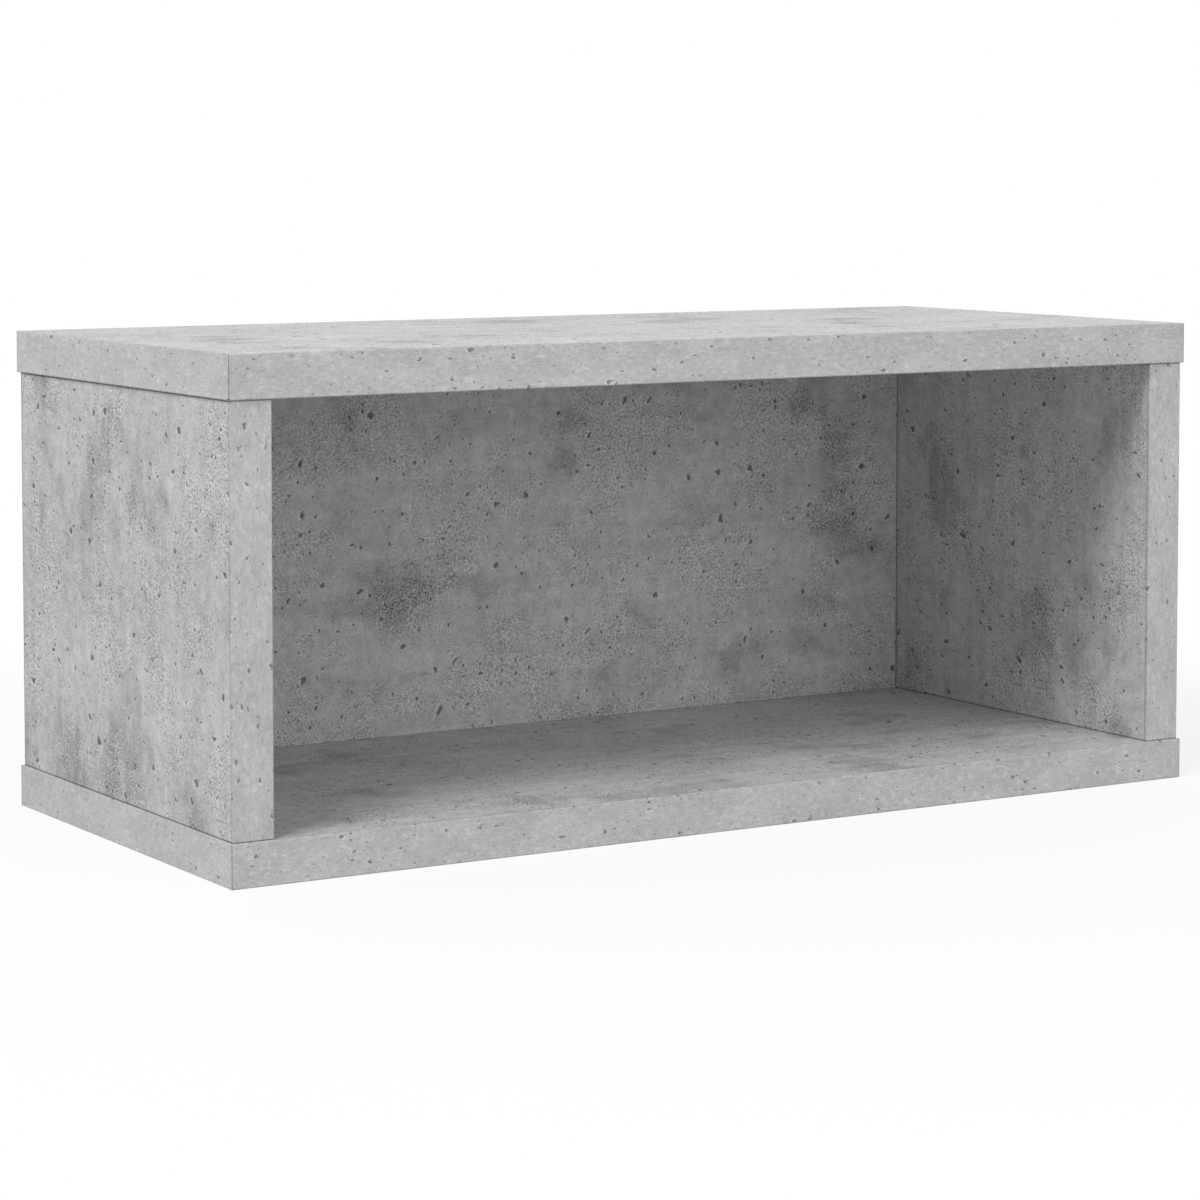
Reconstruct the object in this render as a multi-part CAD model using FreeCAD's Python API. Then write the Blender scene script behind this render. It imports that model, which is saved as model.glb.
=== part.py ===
"""Open-fronted tabletop rack of five faced boards, with banded edges and hidden flat-pack joinery.

Millimetres. The origin is at the middle of the underside, the open front faces -Y and +Z is up.
"""

import FreeCAD, Part
import math
import os

# Overall size
RACK_WIDTH = 400.0
RACK_DEPTH = 177.0
RACK_HEIGHT = 174.0

# Boards and edge bands
BOARD_THICKNESS = 15.0
BAND_THICKNESS = 1.0
BAND_EDGE_RADIUS = 0.5
BAND_LEFT_SQUARE = 0.1

# The upright boards stand in from the edges of the top and bottom boards by these
SIDE_INSET = 0.8
FRONT_INSET = 0.8
REAR_INSET = 1.2

# Places of the fasteners along the joints, each from the end of the board that carries it
SIDE_FRONT_SETBACK = 32.0
SIDE_REAR_SETBACK = 55.0
BACK_PULL_SETBACK = 80.0

# Fluted wooden dowel
DOWEL_DIAMETER = 8.0
DOWEL_LENGTH = 30.0
DOWEL_FLUTES = 6
DOWEL_FLUTE_DEPTH = 0.5
DOWEL_FLUTE_ANGLE = 16.0
DOWEL_FIT = 0.05

# Blind holes stop this far short of the board's other face, and run this far past what is in them
BLIND_SKIN = 4.0
THREAD_SKIN = 3.0
HOLE_SPARE = 1.0

# Countersunk screw, driven from below with a hexagon key
SCREW_LENGTH = 50.0
SCREW_HEAD_DIAMETER = 9.6
SCREW_SHANK_DIAMETER = 5.0
SCREW_SOCKET_WALL = 0.2
SCREW_SOCKET_DEPTH = 2.8
SCREW_SUNK_BY = 0.5
SCREW_CLEARANCE = 0.3
SCREW_FIT = 0.1

# Cam bolt, screwed into the neighbouring board; its head is caught in the cam housing
BOLT_REACH = 24.0
BOLT_THREAD_DIAMETER = 5.0
BOLT_SHANK_DIAMETER = 6.4
BOLT_SHOULDER_GAP = 1.6
BOLT_NECK_DIAMETER = 3.6
BOLT_HEAD_DIAMETER = 6.6
BOLT_HEAD_LENGTH = 3.2
BOLT_HEAD_SHORT_OF_CAM = 2.5
BOLT_SLOT_WIDTH = 1.0
BOLT_SLOT_DEPTH = 1.2
BOLT_CLEARANCE = 0.7
BOLT_FIT = 0.05

# Cam housing, a zinc casting let into the back board's rear face
CAM_DIAMETER = 15.0
CAM_FIT = 0.1
CAM_SUNK_BY = 0.2
CAM_FLOOR_THICKNESS = 1.1
CAM_CHAMBER_SHIFT = 0.7
CAM_CATCH_GAP = 0.1
CAM_HEAD_ROOM = 0.4
CAM_NECK_ROOM = 0.35
CAM_TRACK_TURN = 165.0
CAM_RECESS_SPAN = 7.0
CAM_RECESS_WIDTH = 1.3
CAM_RECESS_DEPTH = 2.4
CAM_ARROW_LENGTH = 1.8
CAM_ARROW_WIDTH = 2.4
CAM_ARROW_DEPTH = 0.4

# Planes of the boards, worked out from the sizes above
OUTER_X = RACK_WIDTH / 2
OUTER_Y = RACK_DEPTH / 2
SIDE_OUTER_X = OUTER_X - SIDE_INSET
SIDE_INNER_X = SIDE_OUTER_X - BOARD_THICKNESS
SIDE_MIDDLE_X = SIDE_OUTER_X - BOARD_THICKNESS / 2
SIDE_FRONT_Y = -OUTER_Y + FRONT_INSET
SIDE_REAR_Y = OUTER_Y - REAR_INSET
BACK_FRONT_Y = SIDE_REAR_Y - BOARD_THICKNESS
BACK_MIDDLE_Y = SIDE_REAR_Y - BOARD_THICKNESS / 2
BAY_FLOOR_Z = BOARD_THICKNESS
BAY_CEILING_Z = RACK_HEIGHT - BOARD_THICKNESS
BAY_MIDDLE_Z = (BAY_FLOOR_Z + BAY_CEILING_Z) / 2

# Depths of the holes, and the cam housing's inside, worked out from the boards and the fasteners
DOWEL_FACE_HOLE = BOARD_THICKNESS - BLIND_SKIN
DOWEL_FACE_REACH = DOWEL_FACE_HOLE - HOLE_SPARE
DOWEL_END_HOLE = DOWEL_LENGTH - DOWEL_FACE_REACH + HOLE_SPARE
BOLT_THREAD_HOLE = BOARD_THICKNESS - THREAD_SKIN
BOLT_THREAD_LENGTH = BOLT_THREAD_HOLE - HOLE_SPARE
HEAD_CORNER_REACH = math.hypot(BOLT_HEAD_SHORT_OF_CAM + BOLT_HEAD_LENGTH / 2, BOLT_HEAD_DIAMETER / 2)
CAM_CHAMBER_RADIUS = HEAD_CORNER_REACH + CAM_CATCH_GAP
CAM_MOUTH_RADIUS = BOLT_HEAD_DIAMETER / 2 + CAM_HEAD_ROOM
CAM_TRACK_RADIUS = BOLT_NECK_DIAMETER / 2 + CAM_NECK_ROOM
CAM_BELOW_BOLT = CAM_FLOOR_THICKNESS + CAM_MOUTH_RADIUS
CAM_POCKET_DEPTH = BOARD_THICKNESS / 2 + CAM_BELOW_BOLT
CAM_HEIGHT = CAM_POCKET_DEPTH - CAM_SUNK_BY
CAM_LOCKED_TURN = CAM_TRACK_TURN - math.degrees(math.asin(CAM_TRACK_RADIUS / CAM_CHAMBER_RADIUS))

# Two faces or edges closer than this are the same
TOUCHING = 1e-6

UP = FreeCAD.Vector(0, 0, 1)
DOWN = FreeCAD.Vector(0, 0, -1)
RIGHT = FreeCAD.Vector(1, 0, 0)
LEFT = FreeCAD.Vector(-1, 0, 0)
FORWARD = FreeCAD.Vector(0, -1, 0)
REARWARD = FreeCAD.Vector(0, 1, 0)
ORIGIN = FreeCAD.Vector(0, 0, 0)


def point(x, y, z):
    """A point or direction from its three numbers."""
    return FreeCAD.Vector(x, y, z)


def block(low, high):
    """A square-edged block between its lowest and highest corners."""
    size = high - low
    return Part.makeBox(size.x, size.y, size.z, low)


def rod(radius, start, direction, length):
    """A plain round rod from start, along direction."""
    return Part.makeCylinder(radius, length, start, direction)


def turned(profile):
    """A solid turned about +Z from (radius, height) points, which start and end on the axis."""
    outline = Part.makePolygon([point(radius, 0, height) for radius, height in profile + profile[:1]])
    return Part.Face(outline).revolve(ORIGIN, UP, 360)


def aimed(shape, start, direction):
    """A copy of a shape made along +Z, moved so that it starts at start and runs along direction."""
    copy = shape.copy()
    copy.Placement = FreeCAD.Placement(start, FreeCAD.Rotation(UP, direction))
    return copy


def drilled(board, cutters):
    """The board with all its holes cut in one step."""
    return board.cut(Part.makeCompound(cutters)).Solids[0]


def band(low, high, outward):
    """An edge band between two corners, with its two long outer edges eased; outward is where it faces."""
    strip = block(low, high)
    size = high - low
    longest = max(size.x, size.y, size.z)
    outer = (high if outward.dot(size) > 0 else low).dot(outward)
    eased = []
    for edge in strip.Edges:
        on_outside = all(abs(v.Point.dot(outward) - outer) < TOUCHING for v in edge.Vertexes)
        if on_outside and abs(edge.Length - longest) < TOUCHING:
            eased.append(edge)
    return strip.makeFillet(min(BAND_EDGE_RADIUS, BAND_THICKNESS - BAND_LEFT_SQUARE), eased)


def level_board_bands(name, low_z, high_z):
    """The four bands of the top or bottom board, the front and rear ones over the ends of the others."""
    core_x = OUTER_X - BAND_THICKNESS
    core_y = OUTER_Y - BAND_THICKNESS
    left = band(point(-OUTER_X, -core_y, low_z), point(-core_x, core_y, high_z), LEFT)
    right = band(point(core_x, -core_y, low_z), point(OUTER_X, core_y, high_z), RIGHT)
    front = band(point(-OUTER_X, -OUTER_Y, low_z), point(OUTER_X, -core_y, high_z), FORWARD)
    rear = band(point(-OUTER_X, core_y, low_z), point(OUTER_X, OUTER_Y, high_z), REARWARD)
    return {
        f"{name}_left_band": left,
        f"{name}_right_band": right,
        f"{name}_front_band": front,
        f"{name}_rear_band": rear,
    }


def side_board_bands(name, low_x, high_x):
    """The front and rear bands of a side board, from the bottom board up to the top board."""
    front_y = SIDE_FRONT_Y + BAND_THICKNESS
    rear_y = SIDE_REAR_Y - BAND_THICKNESS
    front = band(point(low_x, SIDE_FRONT_Y, BAY_FLOOR_Z), point(high_x, front_y, BAY_CEILING_Z), FORWARD)
    rear = band(point(low_x, rear_y, BAY_FLOOR_Z), point(high_x, SIDE_REAR_Y, BAY_CEILING_Z), REARWARD)
    return {f"{name}_front_band": front, f"{name}_rear_band": rear}


def dowel():
    """A dowel along +Z from the origin, with straight flutes that let air and glue out."""
    radius = DOWEL_DIAMETER / 2
    pitch = 360 / DOWEL_FLUTES
    flute = DOWEL_FLUTE_ANGLE

    def at(angle, distance):
        turn = math.radians(angle)
        return point(distance * math.cos(turn), distance * math.sin(turn), 0)

    edges = []
    for i in range(DOWEL_FLUTES):
        groove = i * pitch
        bottom = at(groove, radius - DOWEL_FLUTE_DEPTH)
        land = [at(groove + turn, radius) for turn in (flute / 2, pitch / 2, pitch - flute / 2)]
        edges.append(Part.makeLine(at(groove - flute / 2, radius), bottom))
        edges.append(Part.makeLine(bottom, land[0]))
        edges.append(Part.Arc(*land).toShape())
    return Part.Face(Part.Wire(edges)).extrude(UP * DOWEL_LENGTH)


def screw():
    """A countersunk screw along +Z, with the flat of its head and a hexagon socket at the origin."""
    head = SCREW_HEAD_DIAMETER / 2
    shank = SCREW_SHANK_DIAMETER / 2
    blank = turned([
        (0, 0),
        (head, 0),
        (shank, head - shank),
        (shank, SCREW_LENGTH),
        (0, SCREW_LENGTH),
    ])
    corner = shank - SCREW_SOCKET_WALL
    turns = [math.radians(60 * i) for i in range(7)]
    hexagon = [point(corner * math.cos(turn), corner * math.sin(turn), 0) for turn in turns]
    socket = Part.Face(Part.makePolygon(hexagon)).extrude(UP * SCREW_SOCKET_DEPTH)
    return blank.cut(socket).Solids[0]


def screw_hole():
    """The room for a screw along +Z from the underside: countersink, clearance hole, pilot hole."""
    mouth = SCREW_HEAD_DIAMETER / 2 + SCREW_SUNK_BY
    clearance = SCREW_SHANK_DIAMETER / 2 + SCREW_CLEARANCE
    pilot = SCREW_SHANK_DIAMETER / 2 + SCREW_FIT
    end_z = SCREW_SUNK_BY + SCREW_LENGTH + HOLE_SPARE
    return turned([
        (0, 0),
        (mouth, 0),
        (clearance, mouth - clearance),
        (clearance, BOARD_THICKNESS),
        (pilot, BOARD_THICKNESS),
        (pilot, end_z),
        (0, end_z),
    ])


def cam_bolt():
    """A cam bolt along +Z: thread below the origin, shank standing on the board, neck and slotted head."""
    thread = BOLT_THREAD_DIAMETER / 2
    shank = BOLT_SHANK_DIAMETER / 2
    neck = BOLT_NECK_DIAMETER / 2
    head = BOLT_HEAD_DIAMETER / 2
    shoulder = BOLT_REACH - CAM_DIAMETER / 2 - BOLT_SHOULDER_GAP
    head_middle = BOLT_REACH - BOLT_HEAD_SHORT_OF_CAM
    head_start = head_middle - BOLT_HEAD_LENGTH / 2
    head_end = head_middle + BOLT_HEAD_LENGTH / 2
    blank = turned([
        (0, -BOLT_THREAD_LENGTH),
        (thread, -BOLT_THREAD_LENGTH),
        (thread, 0),
        (shank, 0),
        (shank, shoulder),
        (neck, shoulder),
        (neck, head_start),
        (head, head_start),
        (head, head_end),
        (0, head_end),
    ])
    half_slot = BOLT_SLOT_WIDTH / 2
    slot = block(point(-head, -half_slot, head_end - BOLT_SLOT_DEPTH), point(head, half_slot, head_end))
    return blank.cut(slot).Solids[0]


def cam_housing():
    """A cam housing standing on its closed end, its mouth towards +X before it is turned to lock.

    The bolt's head passes the mouth into the chamber. As the housing turns, the neck runs along the track
    while the chamber's shifted wall draws the head in.
    """
    radius = CAM_DIAMETER / 2 - CAM_FIT
    chamber_floor = point(0, 0, CAM_FLOOR_THICKNESS)
    shift = point(CAM_CHAMBER_SHIFT, 0, 0)
    track_floor = point(0, 0, CAM_BELOW_BOLT - CAM_TRACK_RADIUS)
    cuts = [
        rod(CAM_CHAMBER_RADIUS, chamber_floor, UP, 2 * CAM_MOUTH_RADIUS),
        rod(CAM_CHAMBER_RADIUS, chamber_floor + shift, UP, 2 * CAM_MOUTH_RADIUS),
        rod(CAM_MOUTH_RADIUS, point(0, 0, CAM_BELOW_BOLT), RIGHT, CAM_DIAMETER),
        Part.makeCylinder(CAM_DIAMETER, 2 * CAM_TRACK_RADIUS, track_floor, UP, CAM_TRACK_TURN),
    ]
    half_width = CAM_RECESS_WIDTH / 2
    half_span = CAM_RECESS_SPAN / 2
    floor_z = CAM_HEIGHT - CAM_RECESS_DEPTH
    for reach_x, reach_y in ((half_span, half_width), (half_width, half_span)):
        cuts.append(block(point(-reach_x, -reach_y, floor_z), point(reach_x, reach_y, CAM_HEIGHT)))
    arrow_z = CAM_HEIGHT - CAM_ARROW_DEPTH
    tip_x = radius - CAM_ARROW_DEPTH
    arrow = Part.makePolygon([
        point(tip_x, 0, arrow_z),
        point(tip_x - CAM_ARROW_LENGTH, CAM_ARROW_WIDTH / 2, arrow_z),
        point(tip_x - CAM_ARROW_LENGTH, -CAM_ARROW_WIDTH / 2, arrow_z),
        point(tip_x, 0, arrow_z),
    ])
    cuts.append(Part.Face(arrow).extrude(UP * CAM_ARROW_DEPTH))
    housing = rod(radius, ORIGIN, UP, CAM_HEIGHT)
    for cut in cuts:
        housing = housing.cut(cut)
    return housing.Solids[0]


class Rack:
    """Boards with the holes they need, and the fasteners that go into them, kept by name."""

    def __init__(self):
        core_x = OUTER_X - BAND_THICKNESS
        core_y = OUTER_Y - BAND_THICKNESS
        side_front = SIDE_FRONT_Y + BAND_THICKNESS
        side_rear = SIDE_REAR_Y - BAND_THICKNESS
        self.boards = {
            "top_board": block(point(-core_x, -core_y, BAY_CEILING_Z), point(core_x, core_y, RACK_HEIGHT)),
            "bottom_board": block(point(-core_x, -core_y, 0), point(core_x, core_y, BAY_FLOOR_Z)),
            "left_side_board": block(
                point(-SIDE_OUTER_X, side_front, BAY_FLOOR_Z),
                point(-SIDE_INNER_X, side_rear, BAY_CEILING_Z),
            ),
            "right_side_board": block(
                point(SIDE_INNER_X, side_front, BAY_FLOOR_Z),
                point(SIDE_OUTER_X, side_rear, BAY_CEILING_Z),
            ),
            "back_board": block(
                point(-SIDE_INNER_X, BACK_FRONT_Y, BAY_FLOOR_Z),
                point(SIDE_INNER_X, SIDE_REAR_Y, BAY_CEILING_Z),
            ),
        }
        self.cutters = {name: [] for name in self.boards}
        self.fasteners = {}

    def add(self, group, piece):
        """Puts a fastener into its group."""
        self.fasteners.setdefault(group, []).append(piece)

    def join_with_dowel(self, group, face_board, end_board, spot, into_end):
        """A dowel across the joint at spot; into_end points into the board that is drilled from its end."""
        radius = DOWEL_DIAMETER / 2 + DOWEL_FIT
        self.cutters[face_board].append(rod(radius, spot, -into_end, DOWEL_FACE_HOLE))
        self.cutters[end_board].append(rod(radius, spot, into_end, DOWEL_END_HOLE))
        self.add(group, aimed(dowel(), spot - into_end * DOWEL_FACE_REACH, into_end))

    def join_with_screw(self, group, end_board, x, y):
        """A screw from the underside, up through the bottom board into the end of an upright board."""
        hole = aimed(screw_hole(), point(x, y, 0), UP)
        self.cutters["bottom_board"].append(hole)
        self.cutters[end_board].append(hole)
        self.add(group, aimed(screw(), point(x, y, SCREW_SUNK_BY), UP))

    def join_with_cam(self, face_board, spot, into_end):
        """A cam bolt in face_board, caught by a cam housing in the back board's rear face."""
        thread = BOLT_THREAD_DIAMETER / 2 + BOLT_FIT
        self.cutters[face_board].append(rod(thread, spot, -into_end, BOLT_THREAD_HOLE))
        bore = max(BOLT_SHANK_DIAMETER, BOLT_HEAD_DIAMETER) / 2 + BOLT_CLEARANCE
        self.cutters["back_board"].append(rod(bore, spot, into_end, BOLT_REACH))
        self.add("back_cam_bolts", aimed(cam_bolt(), spot, into_end))
        centre = spot + into_end * BOLT_REACH
        pocket_floor = point(centre.x, SIDE_REAR_Y - CAM_POCKET_DEPTH, centre.z)
        self.cutters["back_board"].append(rod(CAM_DIAMETER / 2, pocket_floor, REARWARD, CAM_POCKET_DEPTH))
        mouth = -into_end
        axes = FreeCAD.Rotation(mouth, REARWARD.cross(mouth), REARWARD, "ZXY")
        locked = FreeCAD.Rotation(UP, -CAM_LOCKED_TURN)
        housing = cam_housing()
        housing.Placement = FreeCAD.Placement(pocket_floor, axes.multiply(locked))
        self.add("back_cam_housings", housing)

    def assemble(self):
        """Puts every fastener in its place and records the holes that it needs."""
        rows = (SIDE_FRONT_Y + SIDE_FRONT_SETBACK, SIDE_REAR_Y - SIDE_REAR_SETBACK)
        for side, sign in (("left_side_board", -1), ("right_side_board", 1)):
            for y in rows:
                top_spot = point(sign * SIDE_MIDDLE_X, y, BAY_CEILING_Z)
                self.join_with_dowel("side_top_dowels", "top_board", side, top_spot, DOWN)
                self.join_with_screw("side_screws", side, sign * SIDE_MIDDLE_X, y)
            end_spot = point(sign * SIDE_INNER_X, BACK_MIDDLE_Y, BAY_MIDDLE_Z)
            self.join_with_dowel("back_end_dowels", side, "back_board", end_spot, RIGHT * -sign)
            pull_x = sign * (SIDE_INNER_X - BACK_PULL_SETBACK)
            self.join_with_cam("top_board", point(pull_x, BACK_MIDDLE_Y, BAY_CEILING_Z), DOWN)
            self.join_with_screw("back_screws", "back_board", pull_x, BACK_MIDDLE_Y)

    def pieces(self):
        """Every piece of the rack by its name: drilled boards, bands, and fasteners in their groups."""
        made = {name: drilled(board, self.cutters[name]) for name, board in self.boards.items()}
        made.update(level_board_bands("top", BAY_CEILING_Z, RACK_HEIGHT))
        made.update(level_board_bands("bottom", 0, BAY_FLOOR_Z))
        made.update(side_board_bands("left_side", -SIDE_OUTER_X, -SIDE_INNER_X))
        made.update(side_board_bands("right_side", SIDE_INNER_X, SIDE_OUTER_X))
        for name, group in self.fasteners.items():
            made[name] = Part.makeCompound(group)
        return made


def main():
    rack = Rack()
    rack.assemble()
    os.makedirs("parts", exist_ok=True)
    for name, shape in rack.pieces().items():
        shape.exportStep(f"parts/{name}.step")
        print(f"{name}: solids {len(shape.Solids)}, volume {shape.Volume / 1000:.2f} cm3")


main()
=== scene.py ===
"""Looks of an open-fronted tabletop rack: faced boards, edge bands, hidden fittings, floor, light and camera.

Metres, in the frame of the solids: the origin is at the middle of the underside, the open front faces -Y.
Patterns are worked out in millimetres on each piece's own plane.
"""

import logging
import math
from dataclasses import dataclass, field
from enum import Enum
from typing import TypeAlias

import bpy
import numpy as np
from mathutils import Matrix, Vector


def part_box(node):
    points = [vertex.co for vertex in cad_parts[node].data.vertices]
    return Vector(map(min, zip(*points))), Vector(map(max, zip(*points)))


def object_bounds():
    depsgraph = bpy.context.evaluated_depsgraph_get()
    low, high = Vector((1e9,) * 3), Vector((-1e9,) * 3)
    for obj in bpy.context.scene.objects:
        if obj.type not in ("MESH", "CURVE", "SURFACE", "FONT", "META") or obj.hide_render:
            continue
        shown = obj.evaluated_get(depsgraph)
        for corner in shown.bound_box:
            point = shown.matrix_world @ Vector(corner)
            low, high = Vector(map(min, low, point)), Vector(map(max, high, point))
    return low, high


log = logging.getLogger("rack")
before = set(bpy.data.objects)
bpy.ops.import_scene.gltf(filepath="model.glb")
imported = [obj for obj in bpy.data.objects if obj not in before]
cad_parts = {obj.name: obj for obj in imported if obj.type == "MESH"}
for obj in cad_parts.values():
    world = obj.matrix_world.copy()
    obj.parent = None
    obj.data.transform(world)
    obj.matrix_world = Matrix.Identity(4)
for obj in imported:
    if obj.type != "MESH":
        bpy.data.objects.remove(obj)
solids_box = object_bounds()

MM = 0.001
PER_MM = 1000.0

Colour: TypeAlias = tuple[float, float, float]
Place: TypeAlias = tuple[float, float, float]
Range: TypeAlias = tuple[float, float]
Number: TypeAlias = "float | Signal"


class Axis(Enum):
    """A direction of the rack's frame."""

    X = 0
    Y = 1
    Z = 2


def tone(red: float, green: float, blue: float) -> Colour:
    """Turns a colour as it is seen on a screen, 0 to 255, into the light that it reflects.

    Args:
        red: Red on the screen.
        green: Green on the screen.
        blue: Blue on the screen.

    Returns:
        The three shares of light, each ((value + 0.055) / 1.055) to the power 2.4 above the dark toe.
    """
    shares = []
    for level in (red / 255, green / 255, blue / 255):
        shares.append(level / 12.92 if level <= 0.04045 else ((level + 0.055) / 1.055) ** 2.4)
    return shares[0], shares[1], shares[2]


class Signal:
    """A number that a material works out over a surface, written with ordinary operators."""

    def __init__(self, graph: "Graph", socket: bpy.types.NodeSocket) -> None:
        """Wraps one output socket of a graph."""
        self.graph = graph
        self.socket = socket

    def _with(self, operation: str, left: Number, right: Number) -> "Signal":
        """Adds a Math node for one operator.

        Args:
            operation: The Math node's operation.
            left: Its first number.
            right: Its second number.

        Returns:
            The node's result.
        """
        node = self.graph.add("ShaderNodeMath", {"operation": operation}, {0: left, 1: right})
        return Signal(self.graph, node.outputs[0])

    def __add__(self, other: Number) -> "Signal":
        """Sum."""
        return self._with("ADD", self, other)

    def __radd__(self, other: Number) -> "Signal":
        """Sum, from the right."""
        return self._with("ADD", other, self)

    def __sub__(self, other: Number) -> "Signal":
        """Difference."""
        return self._with("SUBTRACT", self, other)

    def __rsub__(self, other: Number) -> "Signal":
        """Difference, from the right."""
        return self._with("SUBTRACT", other, self)

    def __mul__(self, other: Number) -> "Signal":
        """Product."""
        return self._with("MULTIPLY", self, other)

    def __rmul__(self, other: Number) -> "Signal":
        """Product, from the right."""
        return self._with("MULTIPLY", other, self)

    def __truediv__(self, other: Number) -> "Signal":
        """Quotient."""
        return self._with("DIVIDE", self, other)

    def lower_of(self, other: Number) -> "Signal":
        """The smaller of two numbers."""
        return self._with("MINIMUM", self, other)

    def higher_of(self, other: Number) -> "Signal":
        """The larger of two numbers."""
        return self._with("MAXIMUM", self, other)

    def rise(self, start: Number, end: Number) -> "Signal":
        """A smooth step.

        Args:
            start: Where the step leaves 0.
            end: Where it reaches 1; below start, the step falls instead.

        Returns:
            t squared times (3 - 2 t), with t running from 0 at start to 1 at end.
        """
        node = self.graph.add(
            "ShaderNodeMapRange",
            {"interpolation_type": "SMOOTHSTEP", "clamp": True},
            {"Value": self, "From Min": start, "From Max": end, "To Min": 0.0, "To Max": 1.0},
        )
        return Signal(self.graph, node.outputs["Result"])


@dataclass(frozen=True)
class Cell:
    """The nearest scattered point: how far it is, how far a place lies ahead of it, two random numbers."""

    distance: Signal
    ahead: Signal
    pick: Signal
    strength: Signal


class Graph:
    """The nodes of one material, or of the surroundings."""

    def __init__(self, owner: bpy.types.Material | bpy.types.World) -> None:
        """Empties the owner's node tree."""
        owner.use_nodes = True
        self.owner = owner
        self.tree = owner.node_tree
        self.tree.nodes.clear()

    @classmethod
    def named(cls, name: str) -> "Graph":
        """Starts a new material."""
        return cls(bpy.data.materials.new(name))

    def add(self, kind: str, settings: dict[str, object], inputs: dict[str | int, object]) -> bpy.types.Node:
        """Adds any node.

        Args:
            kind: The node's type.
            settings: Its own settings, set first.
            inputs: A value or a Signal for each socket that isn't left as it comes.

        Returns:
            The new node.
        """
        node = self.tree.nodes.new(kind)
        for name, value in settings.items():
            setattr(node, name, value)
        for key, value in inputs.items():
            if isinstance(value, Signal):
                self.tree.links.new(value.socket, node.inputs[key])
            elif isinstance(value, bpy.types.NodeSocket):
                self.tree.links.new(value, node.inputs[key])
            else:
                node.inputs[key].default_value = value
        return node

    def place(self, x: Number, y: Number, z: Number = 0.0) -> bpy.types.NodeSocket:
        """A vector from three numbers."""
        return self.add("ShaderNodeCombineXYZ", {}, {"X": x, "Y": y, "Z": z}).outputs[0]

    def noise(self, where: bpy.types.NodeSocket, detail: float, roughness: float = 0.5) -> Signal:
        """Cloudy noise.

        Args:
            where: The place in the pattern, where 1 is about one cloud.
            detail: How many finer layers are added.
            roughness: How strong the finer layers are.

        Returns:
            Values around 0.5.
        """
        node = self.add(
            "ShaderNodeTexNoise",
            {"noise_dimensions": "2D"},
            {"Vector": where, "Scale": 1.0, "Detail": detail, "Roughness": roughness},
        )
        return Signal(self, node.outputs[0])

    def cells(self, where: bpy.types.NodeSocket) -> Cell:
        """Scattered points, one in each unit cell.

        Args:
            where: The place in the pattern.

        Returns:
            The nearest point.
        """
        node = self.add("ShaderNodeTexVoronoi", {"voronoi_dimensions": "2D"}, {"Vector": where, "Scale": 1.0})
        random = self.add("ShaderNodeSeparateColor", {}, {"Color": node.outputs["Color"]})
        point = node.outputs["Position"]
        offset = self.add("ShaderNodeVectorMath", {"operation": "SUBTRACT"}, {0: where, 1: point})
        parts = self.add("ShaderNodeSeparateXYZ", {}, {"Vector": offset.outputs[0]})
        return Cell(
            distance=Signal(self, node.outputs["Distance"]),
            ahead=Signal(self, parts.outputs[1]),
            pick=Signal(self, random.outputs[0]),
            strength=Signal(self, random.outputs[1]),
        )

    def between(self, share: Number, first: object, second: object) -> bpy.types.NodeSocket:
        """A colour between two colours.

        Args:
            share: 0 for the first, 1 for the second.
            first: A colour, or a socket that gives one.
            second: The same.

        Returns:
            The mixed colour.
        """
        ends = [(*end, 1.0) if isinstance(end, tuple) else end for end in (first, second)]
        node = self.add("ShaderNodeMix", {"data_type": "RGBA"}, {0: share, 6: ends[0], 7: ends[1]})
        return node.outputs[2]

    def scaled(self, colour: bpy.types.NodeSocket, factor: Number) -> bpy.types.NodeSocket:
        """A colour made lighter or darker as a whole."""
        node = self.add("ShaderNodeVectorMath", {"operation": "SCALE"}, {0: colour, "Scale": factor})
        return node.outputs[0]

    def position(self) -> tuple[Signal, Signal, Signal]:
        """The place on the piece along the three axes, in millimetres."""
        here = self.add("ShaderNodeTexCoord", {}, {}).outputs["Object"]
        parts = self.add("ShaderNodeSeparateXYZ", {}, {"Vector": self.scaled(here, PER_MM)})
        return Signal(self, parts.outputs[0]), Signal(self, parts.outputs[1]), Signal(self, parts.outputs[2])

    def finish(
        self,
        colour: object,
        roughness: object,
        fixed: dict[str, object],
        relief: tuple[Signal, float] | None = None,
    ) -> bpy.types.Material:
        """Closes the material with its surface shader.

        Args:
            colour: The base colour, or a socket that gives it.
            roughness: The roughness, or a Signal that gives it.
            fixed: Values of other sockets, the same all over.
            relief: A height in millimetres and how much of it shows, for surfaces that aren't smooth.

        Returns:
            The finished material.
        """
        base = (*colour, 1.0) if isinstance(colour, tuple) else colour
        inputs: dict[str | int, object] = {"Base Color": base, "Roughness": roughness, **fixed}
        if relief is not None:
            height, strength = relief
            bump = self.add(
                "ShaderNodeBump", {}, {"Height": height, "Strength": strength, "Distance": MM}
            )
            inputs["Normal"] = bump.outputs[0]
        shader = self.add("ShaderNodeBsdfPrincipled", {}, inputs)
        self.add("ShaderNodeOutputMaterial", {}, {"Surface": shader.outputs[0]})
        return self.owner


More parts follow.
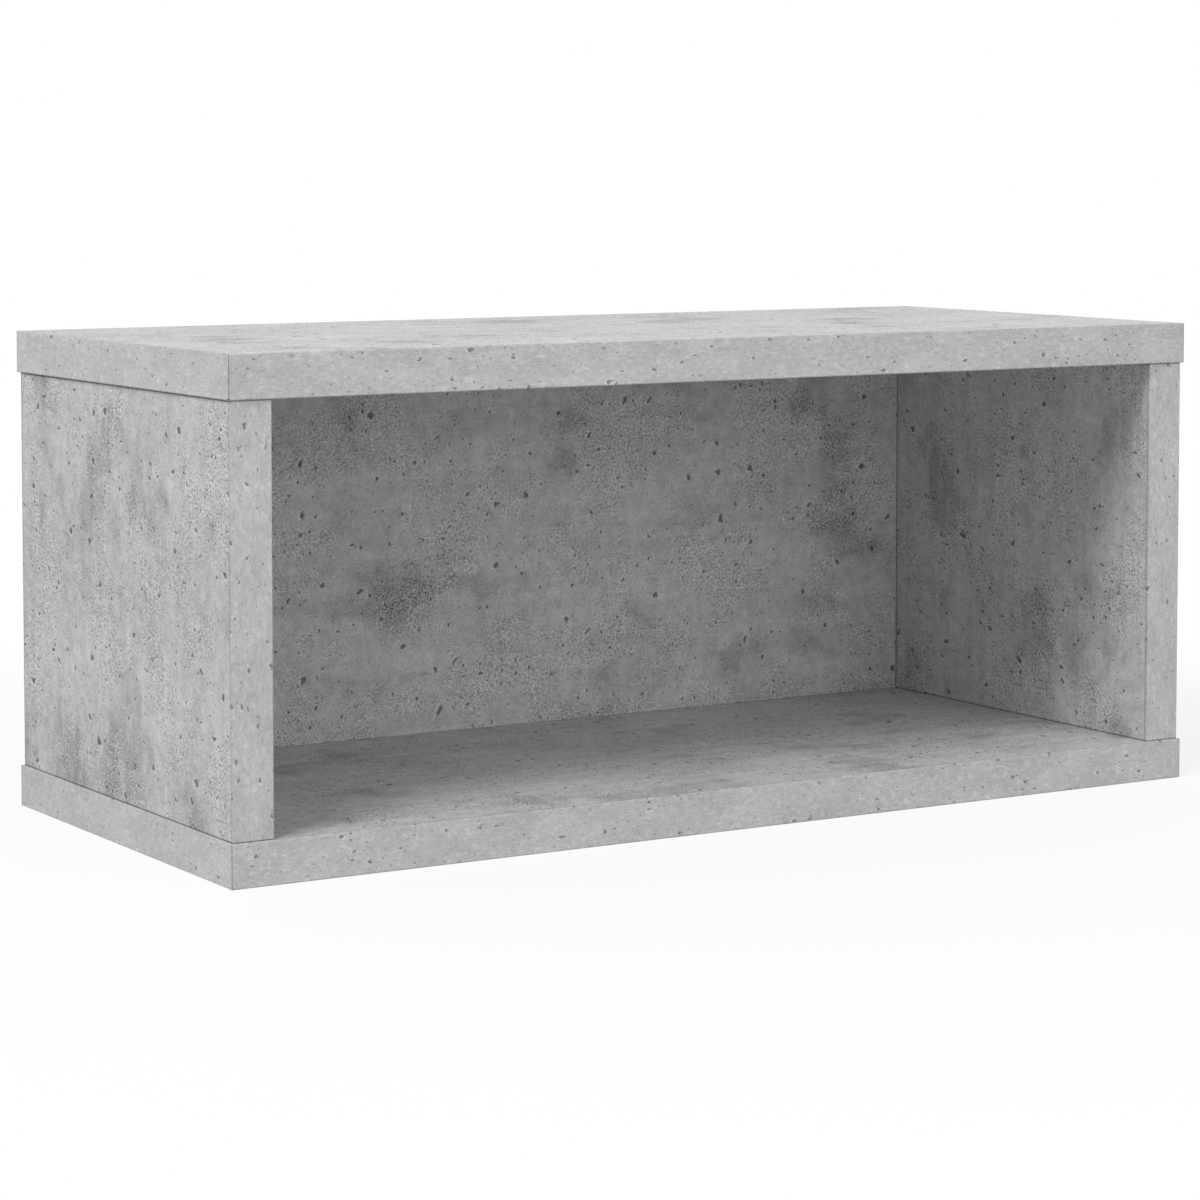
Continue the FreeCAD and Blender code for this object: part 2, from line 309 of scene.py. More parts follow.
@dataclass(frozen=True)
class Layer:
    """A layer of cloudy noise: how large its clouds are in millimetres, how fine, and where it starts."""

    across: float
    along: float
    detail: float
    roughness: float = 0.5
    start: tuple[float, float] = (0.0, 0.0)

    def spread(self, graph: Graph, across: Signal, along: Signal) -> Signal:
        """Lays the noise over a surface.

        Args:
            graph: The material's nodes.
            across: Millimetres across the print.
            along: Millimetres along it.

        Returns:
            Values around 0.5.
        """
        place = graph.place(across / self.across + self.start[0], along / self.along + self.start[1])
        return graph.noise(place, self.detail, self.roughness)

    def swing(self, graph: Graph, across: Signal, along: Signal) -> Signal:
        """The same noise, with values around 0."""
        return self.spread(graph, across, along) - 0.5


@dataclass(frozen=True)
class Chipboard:
    """The pressed wood inside a board, seen in its screw holes."""

    light: Colour = field(default_factory=lambda: tone(196, 166, 124))
    dark: Colour = field(default_factory=lambda: tone(134, 100, 66))
    chips: Layer = Layer(0.8, 2.2, 3.0, 0.6)
    chip_range: Range = (0.35, 0.65)

    def colour(self, graph: Graph, across: Signal, along: Signal) -> bpy.types.NodeSocket:
        """Pale and dark chips, longer than wide.

        Args:
            graph: The material's nodes.
            across: Millimetres across the chips.
            along: Millimetres along them.

        Returns:
            The colour of the cut board.
        """
        chips = self.chips.spread(graph, across, along).rise(*self.chip_range)
        return graph.between(chips, self.light, self.dark)


@dataclass(frozen=True)
class Pits:
    """Air bubbles of a cast surface: dark, ragged, some with a pale lip on one side.

    Their spacing is in millimetres, their largest radius is a share of it, and stretch is their length over
    their width. A share of the places holds one, and crowd is what a busy place adds to that share. The
    ranges are in radii, and so is outline_reach, how far a fully ragged outline strays in all.
    """

    spacing: float
    stretch: float
    share: float
    largest: float
    ragged: float = 0.5
    crowd: float = 0.0
    cutoff: float = 0.01
    smallest: float = 0.3
    inside: Range = (1.15, 0.75)
    beside: Range = (2.0, 1.3)
    outline_detail: float = 2.0
    outline_roughness: float = 0.6
    outline_reach: float = 3.0

    def marks(self, graph: Graph, across: Signal, along: Signal, busy: Signal) -> tuple[Signal, Signal]:
        """Where the pits and their lips are.

        Args:
            graph: The material's nodes.
            across: Millimetres across the print.
            along: Millimetres along it.
            busy: 1 where the pits crowd together, 0 where they are rare.

        Returns:
            1 inside a pit, and 1 on its lip.
        """
        wide = self.largest * self.spacing
        outline = Layer(wide, wide * self.stretch, self.outline_detail, self.outline_roughness)
        edge = outline.swing(graph, across, along)
        place = graph.place(across / self.spacing + self.spacing, along / (self.spacing * self.stretch))
        cell = graph.cells(place)
        radius = cell.strength * cell.strength * (self.largest * (1.0 - self.smallest))
        radius = radius + self.largest * self.smallest
        ratio = cell.distance / radius + edge * (self.ragged * self.outline_reach)
        empty = 1.0 - self.share
        chosen = (cell.pick + busy * self.crowd).rise(empty, empty + self.cutoff)
        pit = ratio.rise(*self.inside) * chosen
        lip = ratio.rise(*self.beside) * chosen * cell.ahead.rise(0.0, -self.largest)
        return pit, lip * (1.0 - pit)


@dataclass(frozen=True)
class FacedBoard:
    """A chipboard with a matt mineral print on both faces.

    Lengths are in millimetres. A layer's depth is how strongly it shows in the shade, and a range is where a
    noise goes from 0 to 1.
    """

    cool: Colour = field(default_factory=lambda: tone(198, 199, 199))
    plain: Colour = field(default_factory=lambda: tone(199, 199, 199))
    tint: Layer = Layer(60, 60, 2.0, start=(2.0, 0.0))
    tint_range: Range = (0.52, 0.72)
    core: Chipboard = Chipboard()

    mean_shade: float = 1.03
    sway: Layer = Layer(13, 13, 3.0, 0.6)
    sway_across: float = 6.0
    sway_along: float = 7.0
    clouds: Layer = Layer(36, 42, 5.0, 0.62)
    clouds_depth: float = 0.40
    drift: Layer = Layer(5.0, 4.4, 4.0, 0.62, (1.9, 0.0))
    drift_depth: float = 0.62
    stains: Layer = Layer(40, 52, 6.0, 0.66, (7.7, 3.1))
    stains_frayed: float = 0.10
    stains_range: Range = (0.53, 0.68)
    stains_depth: float = 0.28
    fine_streaks: Layer = Layer(1.4, 22, 2.0)
    fine_streaks_depth: float = 0.13
    wide_streaks: Layer = Layer(6.5, 75, 2.0, start=(3.0, 0.0))
    wide_streaks_depth: float = 0.20

    busy: Layer = Layer(30, 38, 4.0, 0.6, (4.2, 9.4))
    busy_range: Range = (0.44, 0.60)
    speckle: Layer = Layer(0.75, 0.85, 2.0, 0.7)
    calm_sand: float = 0.6
    busy_sand: float = 1.3
    stained_sand: float = 0.6
    coarse_grains: Layer = Layer(1.25, 1.05, 2.0, 0.62, (8.0, 5.0))
    fine_grains: Layer = Layer(0.8, 0.75, 1.0, start=(0.0, 6.0))
    fine_grains_share: float = 0.3
    dark_range: Range = (0.66, 0.71)
    dark_crowd: float = 0.075
    dark_depth: float = 0.34
    pale_range: Range = (0.34, 0.28)
    pale_crowd: float = 0.06
    pale_depth: float = 0.12

    large_pits: Pits = Pits(spacing=17.0, stretch=0.85, share=0.68, largest=0.09)
    small_pits: Pits = Pits(spacing=6.5, stretch=0.85, share=0.34, largest=0.13, crowd=0.46)
    pinholes: Pits = Pits(spacing=2.7, stretch=0.85, share=0.08, largest=0.15, ragged=0.7, crowd=0.30)
    pit_shade: float = 0.66
    lip_light: float = 0.20

    foil_thickness: float = 0.15
    seam: float = 0.4
    seam_core: float = 0.3
    seam_shade: float = 0.50
    # A dark joint line at a butted board's ends, deepened with painted contact shade.
    joint: float = 0.8
    joint_core: float = 0.2
    joint_and_painted_shade: float = 0.66
    # A soft painted shadow below the top's overhang, on upright boards.
    overhang: float = 2.0
    overhang_painted_shadow: float = 0.24

    speckle_height: float = 0.02
    pit_drop: float = 0.06
    chip_height: float = 0.3
    roughness: float = 0.6
    speckle_roughness: float = 0.3
    pit_roughness: float = 0.12
    chip_roughness: float = 0.3
    gloss: float = 0.24

    def material(self, name: str, plane: "BoardPlane") -> bpy.types.Material:
        """The print of one board.

        Args:
            name: The material's name.
            plane: How the print lies on the board.

        Returns:
            The board's material.
        """
        graph = Graph.named(name)
        across, along, through = plane.coordinates(graph)
        sway = self.sway.swing(graph, across, along)
        bent = across + sway * self.sway_across
        run = along + sway * self.sway_along
        speckle = self.speckle.swing(graph, across, along)
        busy = self.busy.spread(graph, bent, run).rise(*self.busy_range)
        shade = self.ground(graph, bent, run, speckle, busy)
        shade = shade + self.streaks(graph, across, along)
        dark, pale = self.grains(graph, bent, run, busy)
        shade = shade * (1.0 - dark * self.dark_depth) + pale * self.pale_depth

        pits: Signal | None = None
        for size in (self.large_pits, self.small_pits, self.pinholes):
            pit, lip = size.marks(graph, bent, run, busy)
            shade = shade * (1.0 - pit * self.pit_shade) + lip * self.lip_light
            pits = pit if pits is None else pits.higher_of(pit)

        tint = self.tint.spread(graph, bent, run).rise(*self.tint_range)
        colour = graph.scaled(graph.between(tint, self.plain, self.cool), shade * self.seams_and_painted_shade(graph, plane))
        cut = plane.depth(through).rise(self.foil_thickness, self.foil_thickness * 2)
        colour = graph.between(cut, colour, self.core.colour(graph, across, along))
        relief = speckle * self.speckle_height - pits * self.pit_drop - cut * speckle * self.chip_height
        roughness = speckle * self.speckle_roughness + pits * self.pit_roughness
        roughness = roughness + cut * self.chip_roughness + self.roughness
        return graph.finish(colour, roughness, {"Specular IOR Level": self.gloss}, (relief, 1.0))

    def ground(self, graph: Graph, across: Signal, along: Signal, speckle: Signal, busy: Signal) -> Signal:
        """The cloudy ground of the print.

        Args:
            graph: The material's nodes.
            across: Millimetres across the print.
            along: Millimetres along it.
            speckle: Fine sand around 0.
            busy: 1 where the print is busy, 0 where it is calm.

        Returns:
            A shade around 1: clouds, ragged darker stains, and sand that is stronger where the print is busy.
        """
        clouds = self.clouds.swing(graph, across, along)
        drift = self.drift.swing(graph, across, along)
        frayed = self.stains.spread(graph, across, along) + speckle * self.stains_frayed
        stains = (frayed + drift * self.stains_frayed).rise(*self.stains_range)
        sand = speckle * (busy * self.busy_sand + stains * self.stained_sand + self.calm_sand)
        shade = self.mean_shade + clouds * self.clouds_depth + drift * self.drift_depth
        return shade - stains * self.stains_depth + sand

    def grains(self, graph: Graph, across: Signal, along: Signal, busy: Signal) -> tuple[Signal, Signal]:
        """Ragged grains of coarse sand, close together where the print is busy.

        Args:
            graph: The material's nodes.
            across: Millimetres across the print.
            along: Millimetres along it.
            busy: 1 where the print is busy, 0 where it is calm.

        Returns:
            1 on a dark grain, and 1 on a pale one: the highest and the lowest parts of a cloudy noise.
        """
        fine = self.fine_grains.swing(graph, across, along)
        height = self.coarse_grains.spread(graph, across, along) + fine * self.fine_grains_share
        dark = (height + busy * self.dark_crowd).rise(*self.dark_range)
        pale = (height - busy * self.pale_crowd).rise(*self.pale_range)
        return dark, pale

    def streaks(self, graph: Graph, across: Signal, along: Signal) -> Signal:
        """Faint lines along the print, where the casting was wiped.

        Args:
            graph: The material's nodes.
            across: Millimetres across the print.
            along: Millimetres along it.

        Returns:
            What the streaks add to the shade.
        """
        fine = self.fine_streaks.swing(graph, across, along)
        wide = self.wide_streaks.swing(graph, across, along)
        return fine * self.fine_streaks_depth + wide * self.wide_streaks_depth

    def seams_and_painted_shade(self, graph: Graph, plane: "BoardPlane") -> Signal:
        """Thin dark lines where the board meets its bands, and darker joint lines, deepened with painted
        contact shade, where its ends meet other boards.

        Args:
            graph: The material's nodes.
            plane: How the print lies on the board.

        Returns:
            A factor that is 1 away from the edges; an upright board also gets a soft painted shadow below the
            top.
        """
        across = plane.edge_distance(graph, plane.across)
        along = plane.edge_distance(graph, plane.along)
        factor = 1.0 - across.rise(self.seam, self.seam * self.seam_core) * self.seam_shade
        if not plane.butted:
            return factor * (1.0 - along.rise(self.seam, self.seam * self.seam_core) * self.seam_shade)
        # Joint line at the ends, deepened with painted contact shade.
        factor = factor * (1.0 - along.rise(self.joint, self.joint * self.joint_core) * self.joint_and_painted_shade)
        if plane.along is not Axis.Z:
            return factor
        # Painted shadow under the top's overhang.
        return factor * (1.0 - plane.below_end(graph).rise(self.overhang, 0.0) * self.overhang_painted_shadow)


@dataclass(frozen=True)
class BoardPlane:
    """How a print lies on a flat piece: the axis through it, the axis along the print, and its faces."""

    through: Axis
    along: Axis
    low: Vector
    high: Vector
    seed: float
    butted: bool
    shift: float = 300.0
    across_step: float = 173.0
    along_step: float = 219.0

    @classmethod
    def of(cls, node: str, through: Axis, along: Axis, seed: float, butted: bool = False) -> "BoardPlane":
        """Reads a piece's faces from the frame.

        Args:
            node: The piece's node.
            through: The axis through its thickness.
            along: The axis that the print runs along.
            seed: What keeps its print apart from the others.
            butted: Whether its ends stand against other boards.

        Returns:
            The piece's plane.
        """
        low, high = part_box(node)
        return cls(through, along, low, high, seed, butted)

    @property
    def across(self) -> Axis:
        """The axis across the print."""
        return next(axis for axis in Axis if axis not in (self.through, self.along))

    def coordinates(self, graph: Graph) -> tuple[Signal, Signal, Signal]:
        """Millimetres across the print, along it and through the piece.

        Args:
            graph: The material's nodes.

        Returns:
            The three numbers; the first two are moved by the seed, so that no two pieces match.
        """
        here = graph.position()
        across = here[self.across.value] + (self.shift + self.seed * self.across_step)
        along = here[self.along.value] + (self.shift + self.seed * self.along_step)
        return across, along, here[self.through.value]

    def depth(self, through: Signal) -> Signal:
        """How deep a point lies below the nearer face.

        Args:
            through: Millimetres along the axis through the piece.

        Returns:
            Millimetres below the face.
        """
        low = self.low[self.through.value] * PER_MM
        high = self.high[self.through.value] * PER_MM
        return (through - low).lower_of(high - through)

    def edge_distance(self, graph: Graph, axis: Axis) -> Signal:
        """How far a point lies from the nearer end of the piece along an axis.

        Args:
            graph: The material's nodes.
            axis: The axis.

        Returns:
            Millimetres to that end.
        """
        here = graph.position()[axis.value]
        low = self.low[axis.value] * PER_MM
        high = self.high[axis.value] * PER_MM
        return (here - low).lower_of(high - here)

    def below_end(self, graph: Graph) -> Signal:
        """How far a point lies below the piece's far end along the print.

        Args:
            graph: The material's nodes.

        Returns:
            Millimetres to that end.
        """
        return self.high[self.along.value] * PER_MM - graph.position()[self.along.value]

    def sunk(self, graph: Graph) -> Signal:
        """How far a point lies inside the piece's outer face, the one that looks away from the rack's middle.

        Args:
            graph: The material's nodes.

        Returns:
            Millimetres below the outer face.
        """
        here = graph.position()[self.through.value]
        low = self.low[self.through.value] * PER_MM
        high = self.high[self.through.value] * PER_MM
        return here - low if low + high < 0.0 else high - here


class BandEnd(Enum):
    """How a band ends, with how dark the line there is and how wide, in millimetres. At a corner the line is
    painted shade on the outer edge; against a board it is a joint line deepened with painted contact shade.
    """

    # Painted shade on the outer corner edge.
    CORNER = (0.58, 0.32)
    NEIGHBOUR = (0.16, 0.22)
    # Joint line against a board, deepened with painted contact shade.
    BOARD = (0.68, 0.60)

    @property
    def shade(self) -> float:
        """How dark the line is."""
        return self.value[0]

    @property
    def width(self) -> float:
        """How wide the line is."""
        return self.value[1]


@dataclass(frozen=True)
class EdgeBand:
    """A matt plastic band with a calmer, lighter print that runs along it.

    Lengths are in millimetres. A layer's depth is how strongly it shows in the shade, and a range is where a
    noise goes from 0 to 1.
    """

    pale: Colour = field(default_factory=lambda: tone(206, 206, 206))
    warm: Colour = field(default_factory=lambda: tone(200, 200, 198))
    tint: Layer = Layer(15, 28, 2.0, start=(1.0, 0.0))
    tint_range: Range = (0.40, 0.60)

    mean_shade: float = 0.98
    sway: Layer = Layer(5, 9, 3.0, 0.6)
    sway_across: float = 3.0
    clouds: Layer = Layer(7, 16, 4.0, 0.6)
    clouds_depth: float = 0.28
    blots: Layer = Layer(1.7, 3.4, 3.0, 0.62, (5.0, 2.0))
    pale_blots_range: Range = (0.52, 0.76)
    pale_blots_depth: float = 0.20
    dark_blots_range: Range = (0.46, 0.28)
    dark_blots_depth: float = 0.10
    fibres: Layer = Layer(0.5, 2.6, 3.0, 0.6)
    fibres_depth: float = 0.42
    grit: Layer = Layer(0.6, 0.8, 2.0)
    grit_depth: float = 0.34

    busy: Layer = Layer(8, 14, 2.0, start=(3.0, 8.0))
    busy_range: Range = (0.46, 0.66)
    pits: Pits = Pits(spacing=3.2, stretch=1.9, share=0.13, largest=0.19, ragged=0.9, crowd=0.55)
    pit_shade: float = 0.56
    lip_light: float = 0.22
    grains: Pits = Pits(spacing=1.9, stretch=1.8, share=0.10, largest=0.20, ragged=0.8, crowd=0.30)
    grain_shade: float = 0.36
    grain_light: float = 0.10

    line_core: float = 0.3
    edge: float = 0.6
    # Painted shade on the rounding of the long edges.
    edge_painted_shade: float = 0.12

    fibre_height: float = 0.01
    pit_drop: float = 0.03
    roughness: float = 0.56
    fibre_roughness: float = 0.25
    pit_roughness: float = 0.1
    gloss: float = 0.35

    def material(self, name: str, plane: BoardPlane, end: BandEnd) -> bpy.types.Material:
        """The print of one band.

        Args:
            name: The material's name.
            plane: How the print lies on the band.
            end: How the band ends.

        Returns:
            The band's material.
        """
        graph = Graph.named(name)
        across, along, _ = plane.coordinates(graph)
        bent = across + self.sway.swing(graph, across, along) * self.sway_across
        fibres = self.fibres.swing(graph, bent, along)
        shade = self.ground(graph, bent, along) + fibres * self.fibres_depth
        busy = self.busy.spread(graph, bent, along).rise(*self.busy_range)
        pits, lips = self.pits.marks(graph, bent, along, busy)
        grains, bright = self.grains.marks(graph, bent, along, busy)
        shade = shade * (1.0 - pits * self.pit_shade) * (1.0 - grains * self.grain_shade)
        shade = shade + lips * self.lip_light + bright * self.grain_light
        tint = self.tint.spread(graph, bent, along).rise(*self.tint_range)
        colour = graph.scaled(graph.between(tint, self.pale, self.warm), shade * self.line(graph, plane, end))
        relief = fibres * self.fibre_height - pits * self.pit_drop
        roughness = fibres * self.fibre_roughness + pits * self.pit_roughness + self.roughness
        return graph.finish(colour, roughness, {"Specular IOR Level": self.gloss}, (relief, 1.0))

    def ground(self, graph: Graph, across: Signal, along: Signal) -> Signal:
        """The cloudy ground of the print.

        Args:
            graph: The material's nodes.
            across: Millimetres across the print.
            along: Millimetres along it.

        Returns:
            A shade around 1: clouds, pale and dark blots, and fine grit.
        """
        clouds = self.clouds.swing(graph, across, along)
        blots = self.blots.spread(graph, across, along)
        grit = self.grit.swing(graph, across, along)
        shade = self.mean_shade + clouds * self.clouds_depth + grit * self.grit_depth
        shade = shade + blots.rise(*self.pale_blots_range) * self.pale_blots_depth
        return shade - blots.rise(*self.dark_blots_range) * self.dark_blots_depth

    def line(self, graph: Graph, plane: BoardPlane, end: BandEnd) -> Signal:
        """The thin dark line at both ends of the band: a faint joint next to another band, painted shade on
        an outer corner edge, and a joint line deepened with painted contact shade against a board; and
        painted shade on the rounding of its long edges.

        Args:
            graph: The material's nodes.
            plane: How the print lies on the band.
            end: How the band ends.

        Returns:
            A factor that is 1 away from the ends and edges.
        """
        distance = plane.edge_distance(graph, plane.along)
        # At a corner the line keeps to the outer corner edge: painted shade there.
        if end is BandEnd.CORNER:
            distance = distance.higher_of(plane.sunk(graph))
        ends = distance.rise(end.width, end.width * self.line_core) * end.shade
        # Painted shade along the rounded long edges.
        edges = plane.edge_distance(graph, plane.across).rise(self.edge, self.edge * self.line_core)
        return (1.0 - ends) * (1.0 - edges * self.edge_painted_shade)


@dataclass(frozen=True)
class BeechDowel:
    """Bare turned beech, with fine grain and short dark flecks."""

    pale: Colour = field(default_factory=lambda: tone(222, 184, 138))
    dark: Colour = field(default_factory=lambda: tone(188, 142, 98))
    grain: Layer = Layer(0.5, 14, 4.0, 0.6)
    grain_slant: float = 0.7
    grain_range: Range = (0.3, 0.7)
    flecks: Layer = Layer(0.25, 2.0, 2.0, start=(9.0, 0.0))
    fleck_range: Range = (0.62, 0.74)
    fleck_shade: float = 0.28
    grain_relief: float = 0.05
    roughness: float = 0.55
    grain_roughness: float = 0.2

    def material(self, name: str, along: Axis) -> bpy.types.Material:
        """The wood of a set of dowels.

        Args:
            name: The material's name.
            along: The axis that the grain runs along.

        Returns:
            The dowels' material.
        """
        graph = Graph.named(name)
        here = graph.position()
        first, second = (here[axis.value] for axis in Axis if axis is not along)
        run = here[along.value]
        grain = self.grain.spread(graph, first + second * self.grain_slant, run)
        flecks = self.flecks.spread(graph, first - second, run).rise(*self.fleck_range)
        colour = graph.between(grain.rise(*self.grain_range), self.pale, self.dark)
        colour = graph.scaled(colour, 1.0 - flecks * self.fleck_shade)
        roughness = grain * self.grain_roughness + self.roughness
        return graph.finish(colour, roughness, {}, (grain, self.grain_relief))


@dataclass(frozen=True)
class Metal:
    """A zinc surface: bright plating or a dull casting, with cloudy spangle.

    The spangle's clouds and its fine grain are in millimetres, and their lean carries them up the sides.
    """

    light: Colour
    dark: Colour
    roughness: float
    relief: float
    cloud_size: float = 1.6
    cloud_lean: tuple[float, float] = (2.3, 1.9)
    cloud_detail: float = 4.0
    cloud_fineness: float = 0.6
    cloud_range: Range = (0.3, 0.7)
    cloud_roughness: float = 0.2
    grain_size: float = 0.2
    grain_lean: float = 0.3
    grain_detail: float = 2.0
    grain_roughness: float = 0.1
    grain_height: float = 0.05

    def material(self, name: str) -> bpy.types.Material:
        """The metal of a set of fittings.

        Args:
            name: The material's name.

        Returns:
            The fittings' material.
        """
        graph = Graph.named(name)
        x, y, z = graph.position()
        size, lean = self.cloud_size, self.cloud_lean
        where = graph.place(x / size + z / lean[0], y / size + z / lean[1])
        cloud = graph.noise(where, self.cloud_detail, self.cloud_fineness)
        rise = z / self.grain_lean
        where = graph.place(x / self.grain_size + rise, y / self.grain_size - rise)
        fine = graph.noise(where, self.grain_detail)
        colour = graph.between(cloud.rise(*self.cloud_range), self.light, self.dark)
        roughness = self.roughness + (cloud - 0.5) * self.cloud_roughness
        roughness = roughness + (fine - 0.5) * self.grain_roughness
        relief = (fine * self.grain_height, self.relief)
        return graph.finish(colour, roughness, {"Metallic": 1.0}, relief)


PLATED_STEEL = Metal(tone(214, 216, 214), tone(176, 180, 182), 0.3, 0.15)
ZINC_CASTING = Metal(tone(184, 186, 188), tone(160, 163, 166), 0.46, 0.5)


def dress(node: str, material: bpy.types.Material) -> None:
    """Gives a solid its material.

    Args:
        node: The solid's node.
        material: What it is made of.
    """
    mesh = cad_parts[node].data
    mesh.materials.clear()
    mesh.materials.append(material)
    log.info("%s: %s", node, material.name)


@dataclass
class Boards:
    """The five faced boards."""

    facing: FacedBoard = FacedBoard()
    level: tuple[tuple[str, float], ...] = (("top_board", 11.3), ("bottom_board", 1.0))
    upright: tuple[tuple[str, float], ...] = (("left_side_board", 37.8), ("right_side_board", 3.0))
    back: tuple[str, float] = ("back_board", 4.0)

    def build(self) -> None:
        """Dresses every board in its own stretch of the print, which its seed picks."""
        for node, seed in self.level:
            self.dress(node, Axis.Z, Axis.X, seed, False)
        for node, seed in self.upright:
            self.dress(node, Axis.X, Axis.Z, seed, True)
        self.dress(self.back[0], Axis.Y, Axis.X, self.back[1], True)

    def dress(self, node: str, through: Axis, along: Axis, seed: float, butted: bool) -> None:
        """Dresses one board.

        Args:
            node: The board's node.
            through: The axis through its thickness.
            along: The axis that the print runs along.
            seed: What keeps its print apart from the others.
            butted: Whether its ends stand against other boards.
        """
        plane = BoardPlane.of(node, through, along, seed, butted)
        dress(node, self.facing.material(f"{node}_print", plane))


@dataclass
class Bands:
    """The edge bands of the top, bottom and side boards."""

    banding: EdgeBand = EdgeBand()
    level: tuple[str, ...] = ("top", "bottom")
    upright: tuple[str, ...] = ("left_side", "right_side")
    seed_steps: Place = (7.0, 13.0, 29.0)
    seed_span: float = 11.0

    def build(self) -> None:
        """Dresses every band with its print running along it."""
        for board in self.level:
            for side in ("left", "right"):
                self.dress(f"{board}_{side}_band", Axis.X, Axis.Y, BandEnd.NEIGHBOUR)
            for side in ("front", "rear"):
                self.dress(f"{board}_{side}_band", Axis.Y, Axis.X, BandEnd.CORNER)
        for board in self.upright:
            for side in ("front", "rear"):
                self.dress(f"{board}_{side}_band", Axis.Y, Axis.Z, BandEnd.BOARD)

    def dress(self, node: str, through: Axis, along: Axis, end: BandEnd) -> None:
        """Dresses one band.

        Args:
            node: The band's node.
            through: The axis through its thickness.
            along: The axis that it runs along.
            end: How it ends.
        """
        low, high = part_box(node)
        seed = Vector((low.x, low.y, high.z)).dot(Vector(self.seed_steps)) % self.seed_span
        plane = BoardPlane.of(node, through, along, seed)
        dress(node, self.banding.material(f"{node}_print", plane, end))


@dataclass
class Fittings:
    """Dowels, screws, cam bolts and cam housings."""

    wood: BeechDowel = BeechDowel()
    plated: Metal = PLATED_STEEL
    cast: Metal = ZINC_CASTING

    def build(self) -> None:
        """Dresses every group of fittings."""
        dress("side_top_dowels", self.wood.material("upright_beech", Axis.Z))
        dress("back_end_dowels", self.wood.material("level_beech", Axis.X))
        plating = self.plated.material("zinc_plating")
        for node in ("side_screws", "back_screws", "back_cam_bolts"):
            dress(node, plating)
        dress("back_cam_housings", self.cast.material("zinc_casting"))


@dataclass(frozen=True)
class Lamp:
    """A square soft lamp that the camera doesn't see: metres and watts."""

    name: str
    place: Place
    width: float
    power: float

    def hang(self, target: Place) -> None:
        """Adds the lamp.

        Args:
            target: What it points at.
        """
        lamp = bpy.data.lights.new(self.name, "AREA")
        lamp.size = self.width
        lamp.energy = self.power
        holder = bpy.data.objects.new(self.name, lamp)
        holder.location = self.place
        aim = Vector(target) - Vector(self.place)
        holder.rotation_euler = aim.to_track_quat("-Z", "Y").to_euler()
        holder.visible_camera = False
        bpy.context.scene.collection.objects.link(holder)


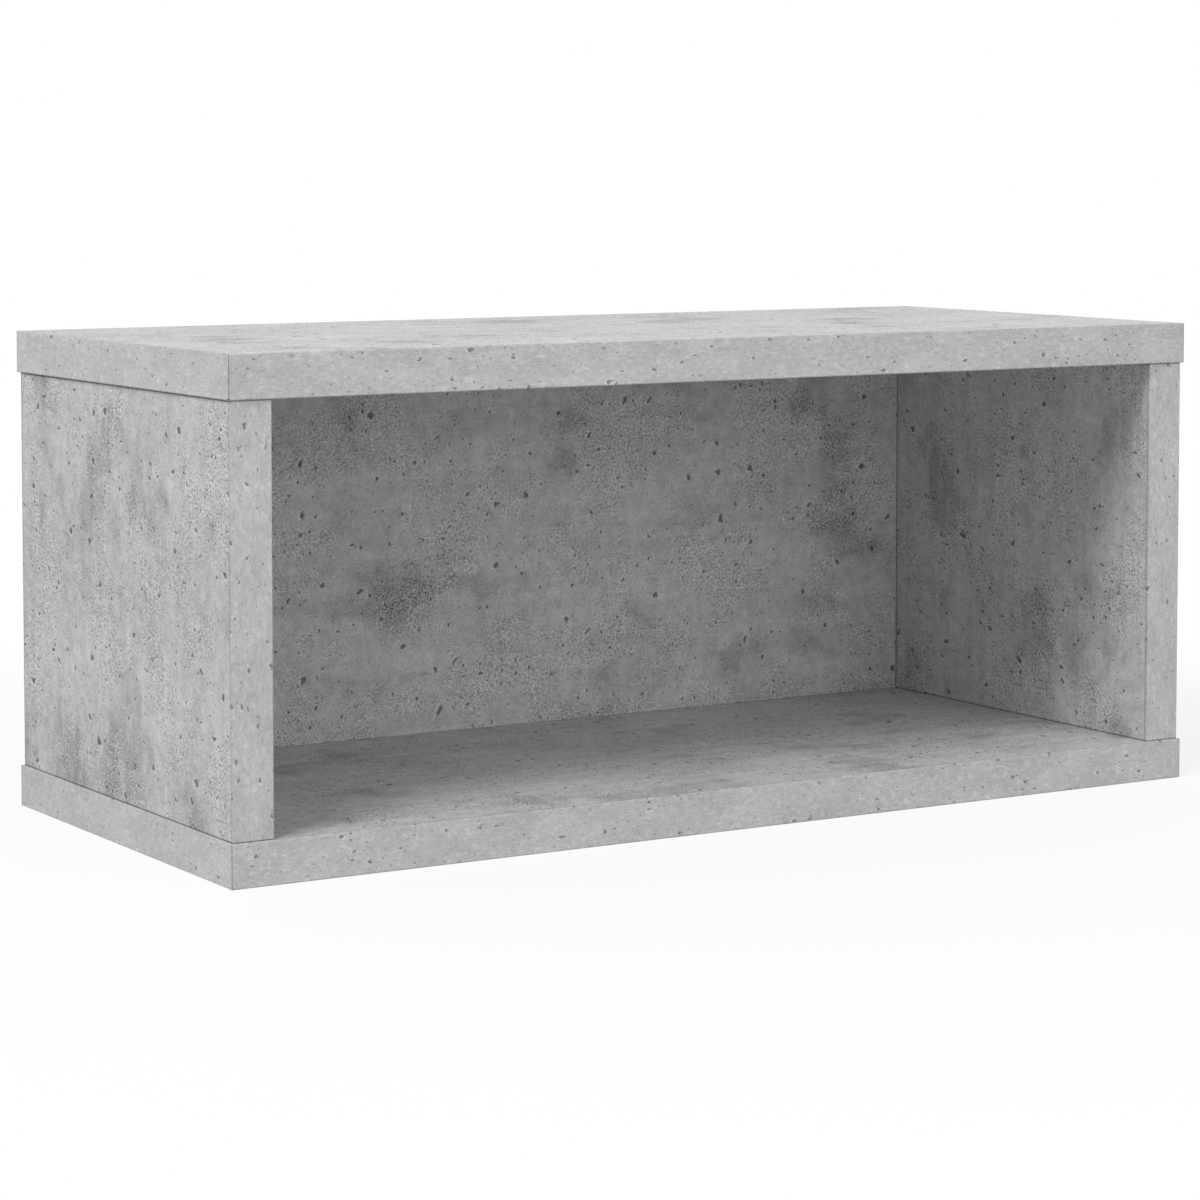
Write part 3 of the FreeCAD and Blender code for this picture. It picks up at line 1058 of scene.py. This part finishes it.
@dataclass
class Studio:
    """Camera, floor, surroundings and lamps, in metres and degrees; lens and sensor in millimetres."""

    camera_place: Place = (-0.6927, -1.1181, 0.2384)
    camera_turn: float = 31.565
    camera_dip: float = 3.728
    lens: float = 106.38
    sensor: float = 36.0
    shift_down: float = 0.18
    sight: float = 50.0
    floor_reach: float = 6.0
    floor_inset: float = 0.0012
    floor_colour: Colour = (0.6, 0.6, 0.6)
    floor_glow: float = 0.78
    shadow_reach: float = 0.5
    shadow_fade: float = 0.4
    surround: float = 0.52
    lamps: tuple[Lamp, ...] = (
        Lamp("left", (-1.35, -0.65, 1.8), 0.8, 23.0),
        Lamp("front", (0.7, -2.0, 0.9), 1.3, 6.2),
        Lamp("right", (1.9, 1.2, 0.9), 1.5, 5.0),
    )
    lamp_target: Place = (0.0, 0.0, 0.08)

    def build(self) -> None:
        """Sets up everything around the object."""
        self.add_camera()
        self.add_floor()
        self.add_surround()
        for lamp in self.lamps:
            lamp.hang(self.lamp_target)

    def add_camera(self) -> None:
        """The photograph's viewpoint, a little above the top, with its frame shifted down to the object."""
        camera = bpy.data.cameras.new("camera")
        camera.lens = self.lens
        camera.sensor_width = self.sensor
        camera.shift_y = -self.shift_down
        camera.clip_end = self.sight
        holder = bpy.data.objects.new("camera", camera)
        holder.location = self.camera_place
        holder.rotation_euler = (math.radians(90 - self.camera_dip), 0.0, -math.radians(self.camera_turn))
        bpy.context.scene.collection.objects.link(holder)
        bpy.context.scene.camera = holder

    def add_floor(self) -> None:
        """A plain floor that keeps the object's shadow and ends in white.

        It is one flat ring round the place that the object stands on, and is clear from below, so that the
        underside can be looked at too.
        """
        low, high = solids_box
        inner = np.array([[low[0], low[1]], [high[0], low[1]], [high[0], high[1]], [low[0], high[1]]])
        inner = inner - np.sign(inner) * self.floor_inset
        outer = np.sign(inner) * self.floor_reach
        points = np.zeros((8, 3))
        points[:, :2] = np.concatenate([outer, inner])
        sides = np.arange(4)
        after = (sides + 1) % 4
        faces = np.stack([sides, after, after + 4, sides + 4], axis=1)
        mesh = bpy.data.meshes.new("floor")
        mesh.from_pydata(points.tolist(), [], faces.tolist())
        floor = bpy.data.objects.new("floor", mesh)
        bpy.context.scene.collection.objects.link(floor)
        mesh.materials.append(self.floor_finish())

    def floor_finish(self) -> bpy.types.Material:
        """Matt near the object, where its shadow shows, and white to look at further out.

        Returns:
            The floor's material.
        """
        graph = Graph.named("floor")
        seen = self.seen_directly(graph)
        x, y, _ = graph.position()
        reach = self.shadow_reach * PER_MM
        far = (x * x + y * y).rise(reach * reach * self.shadow_fade, reach * reach)
        colour = graph.between(seen, self.floor_colour, (1.0, 1.0, 1.0))
        matt = graph.add("ShaderNodeBsdfDiffuse", {}, {"Color": colour})
        white = graph.add("ShaderNodeEmission", {}, {"Color": (1.0, 1.0, 1.0, 1.0), "Strength": 1.0})
        glow = seen * (far * (1.0 - self.floor_glow) + self.floor_glow)
        above = graph.add("ShaderNodeMixShader", {}, {0: glow, 1: matt.outputs[0], 2: white.outputs[0]})
        below = graph.add("ShaderNodeBsdfTransparent", {}, {})
        side = graph.add("ShaderNodeNewGeometry", {}, {}).outputs["Backfacing"]
        mixed = graph.add("ShaderNodeMixShader", {}, {0: side, 1: above.outputs[0], 2: below.outputs[0]})
        graph.add("ShaderNodeOutputMaterial", {}, {"Surface": mixed.outputs[0]})
        return graph.owner

    def seen_directly(self, graph: Graph) -> Signal:
        """1 where the camera, a mirror or a clear piece shows it, 0 where it only sends light."""
        rays = graph.add("ShaderNodeLightPath", {}, {})
        direct = Signal(graph, rays.outputs["Is Camera Ray"])
        mirrored = Signal(graph, rays.outputs["Is Glossy Ray"])
        through = Signal(graph, rays.outputs["Is Transmission Ray"])
        return (direct + mirrored + through).lower_of(1.0)

    def add_surround(self) -> None:
        """An even white room: pure white to look at, dimmer as a light."""
        graph = Graph(bpy.data.worlds.new("surround"))
        bpy.context.scene.world = graph.owner
        strength = self.seen_directly(graph) * (1.0 - self.surround) + self.surround
        sky = graph.add("ShaderNodeBackground", {}, {"Color": (1.0, 1.0, 1.0, 1.0), "Strength": strength})
        graph.add("ShaderNodeOutputWorld", {}, {"Surface": sky.outputs[0]})


def main() -> None:
    """Dresses the rack and sets up the studio around it."""
    logging.basicConfig(level=logging.INFO, format="%(name)s: %(message)s")
    bpy.context.scene.view_settings.view_transform = "Standard"
    for group in (Boards(), Bands(), Fittings(), Studio()):
        group.build()


if __name__ == "__main__":
    main()
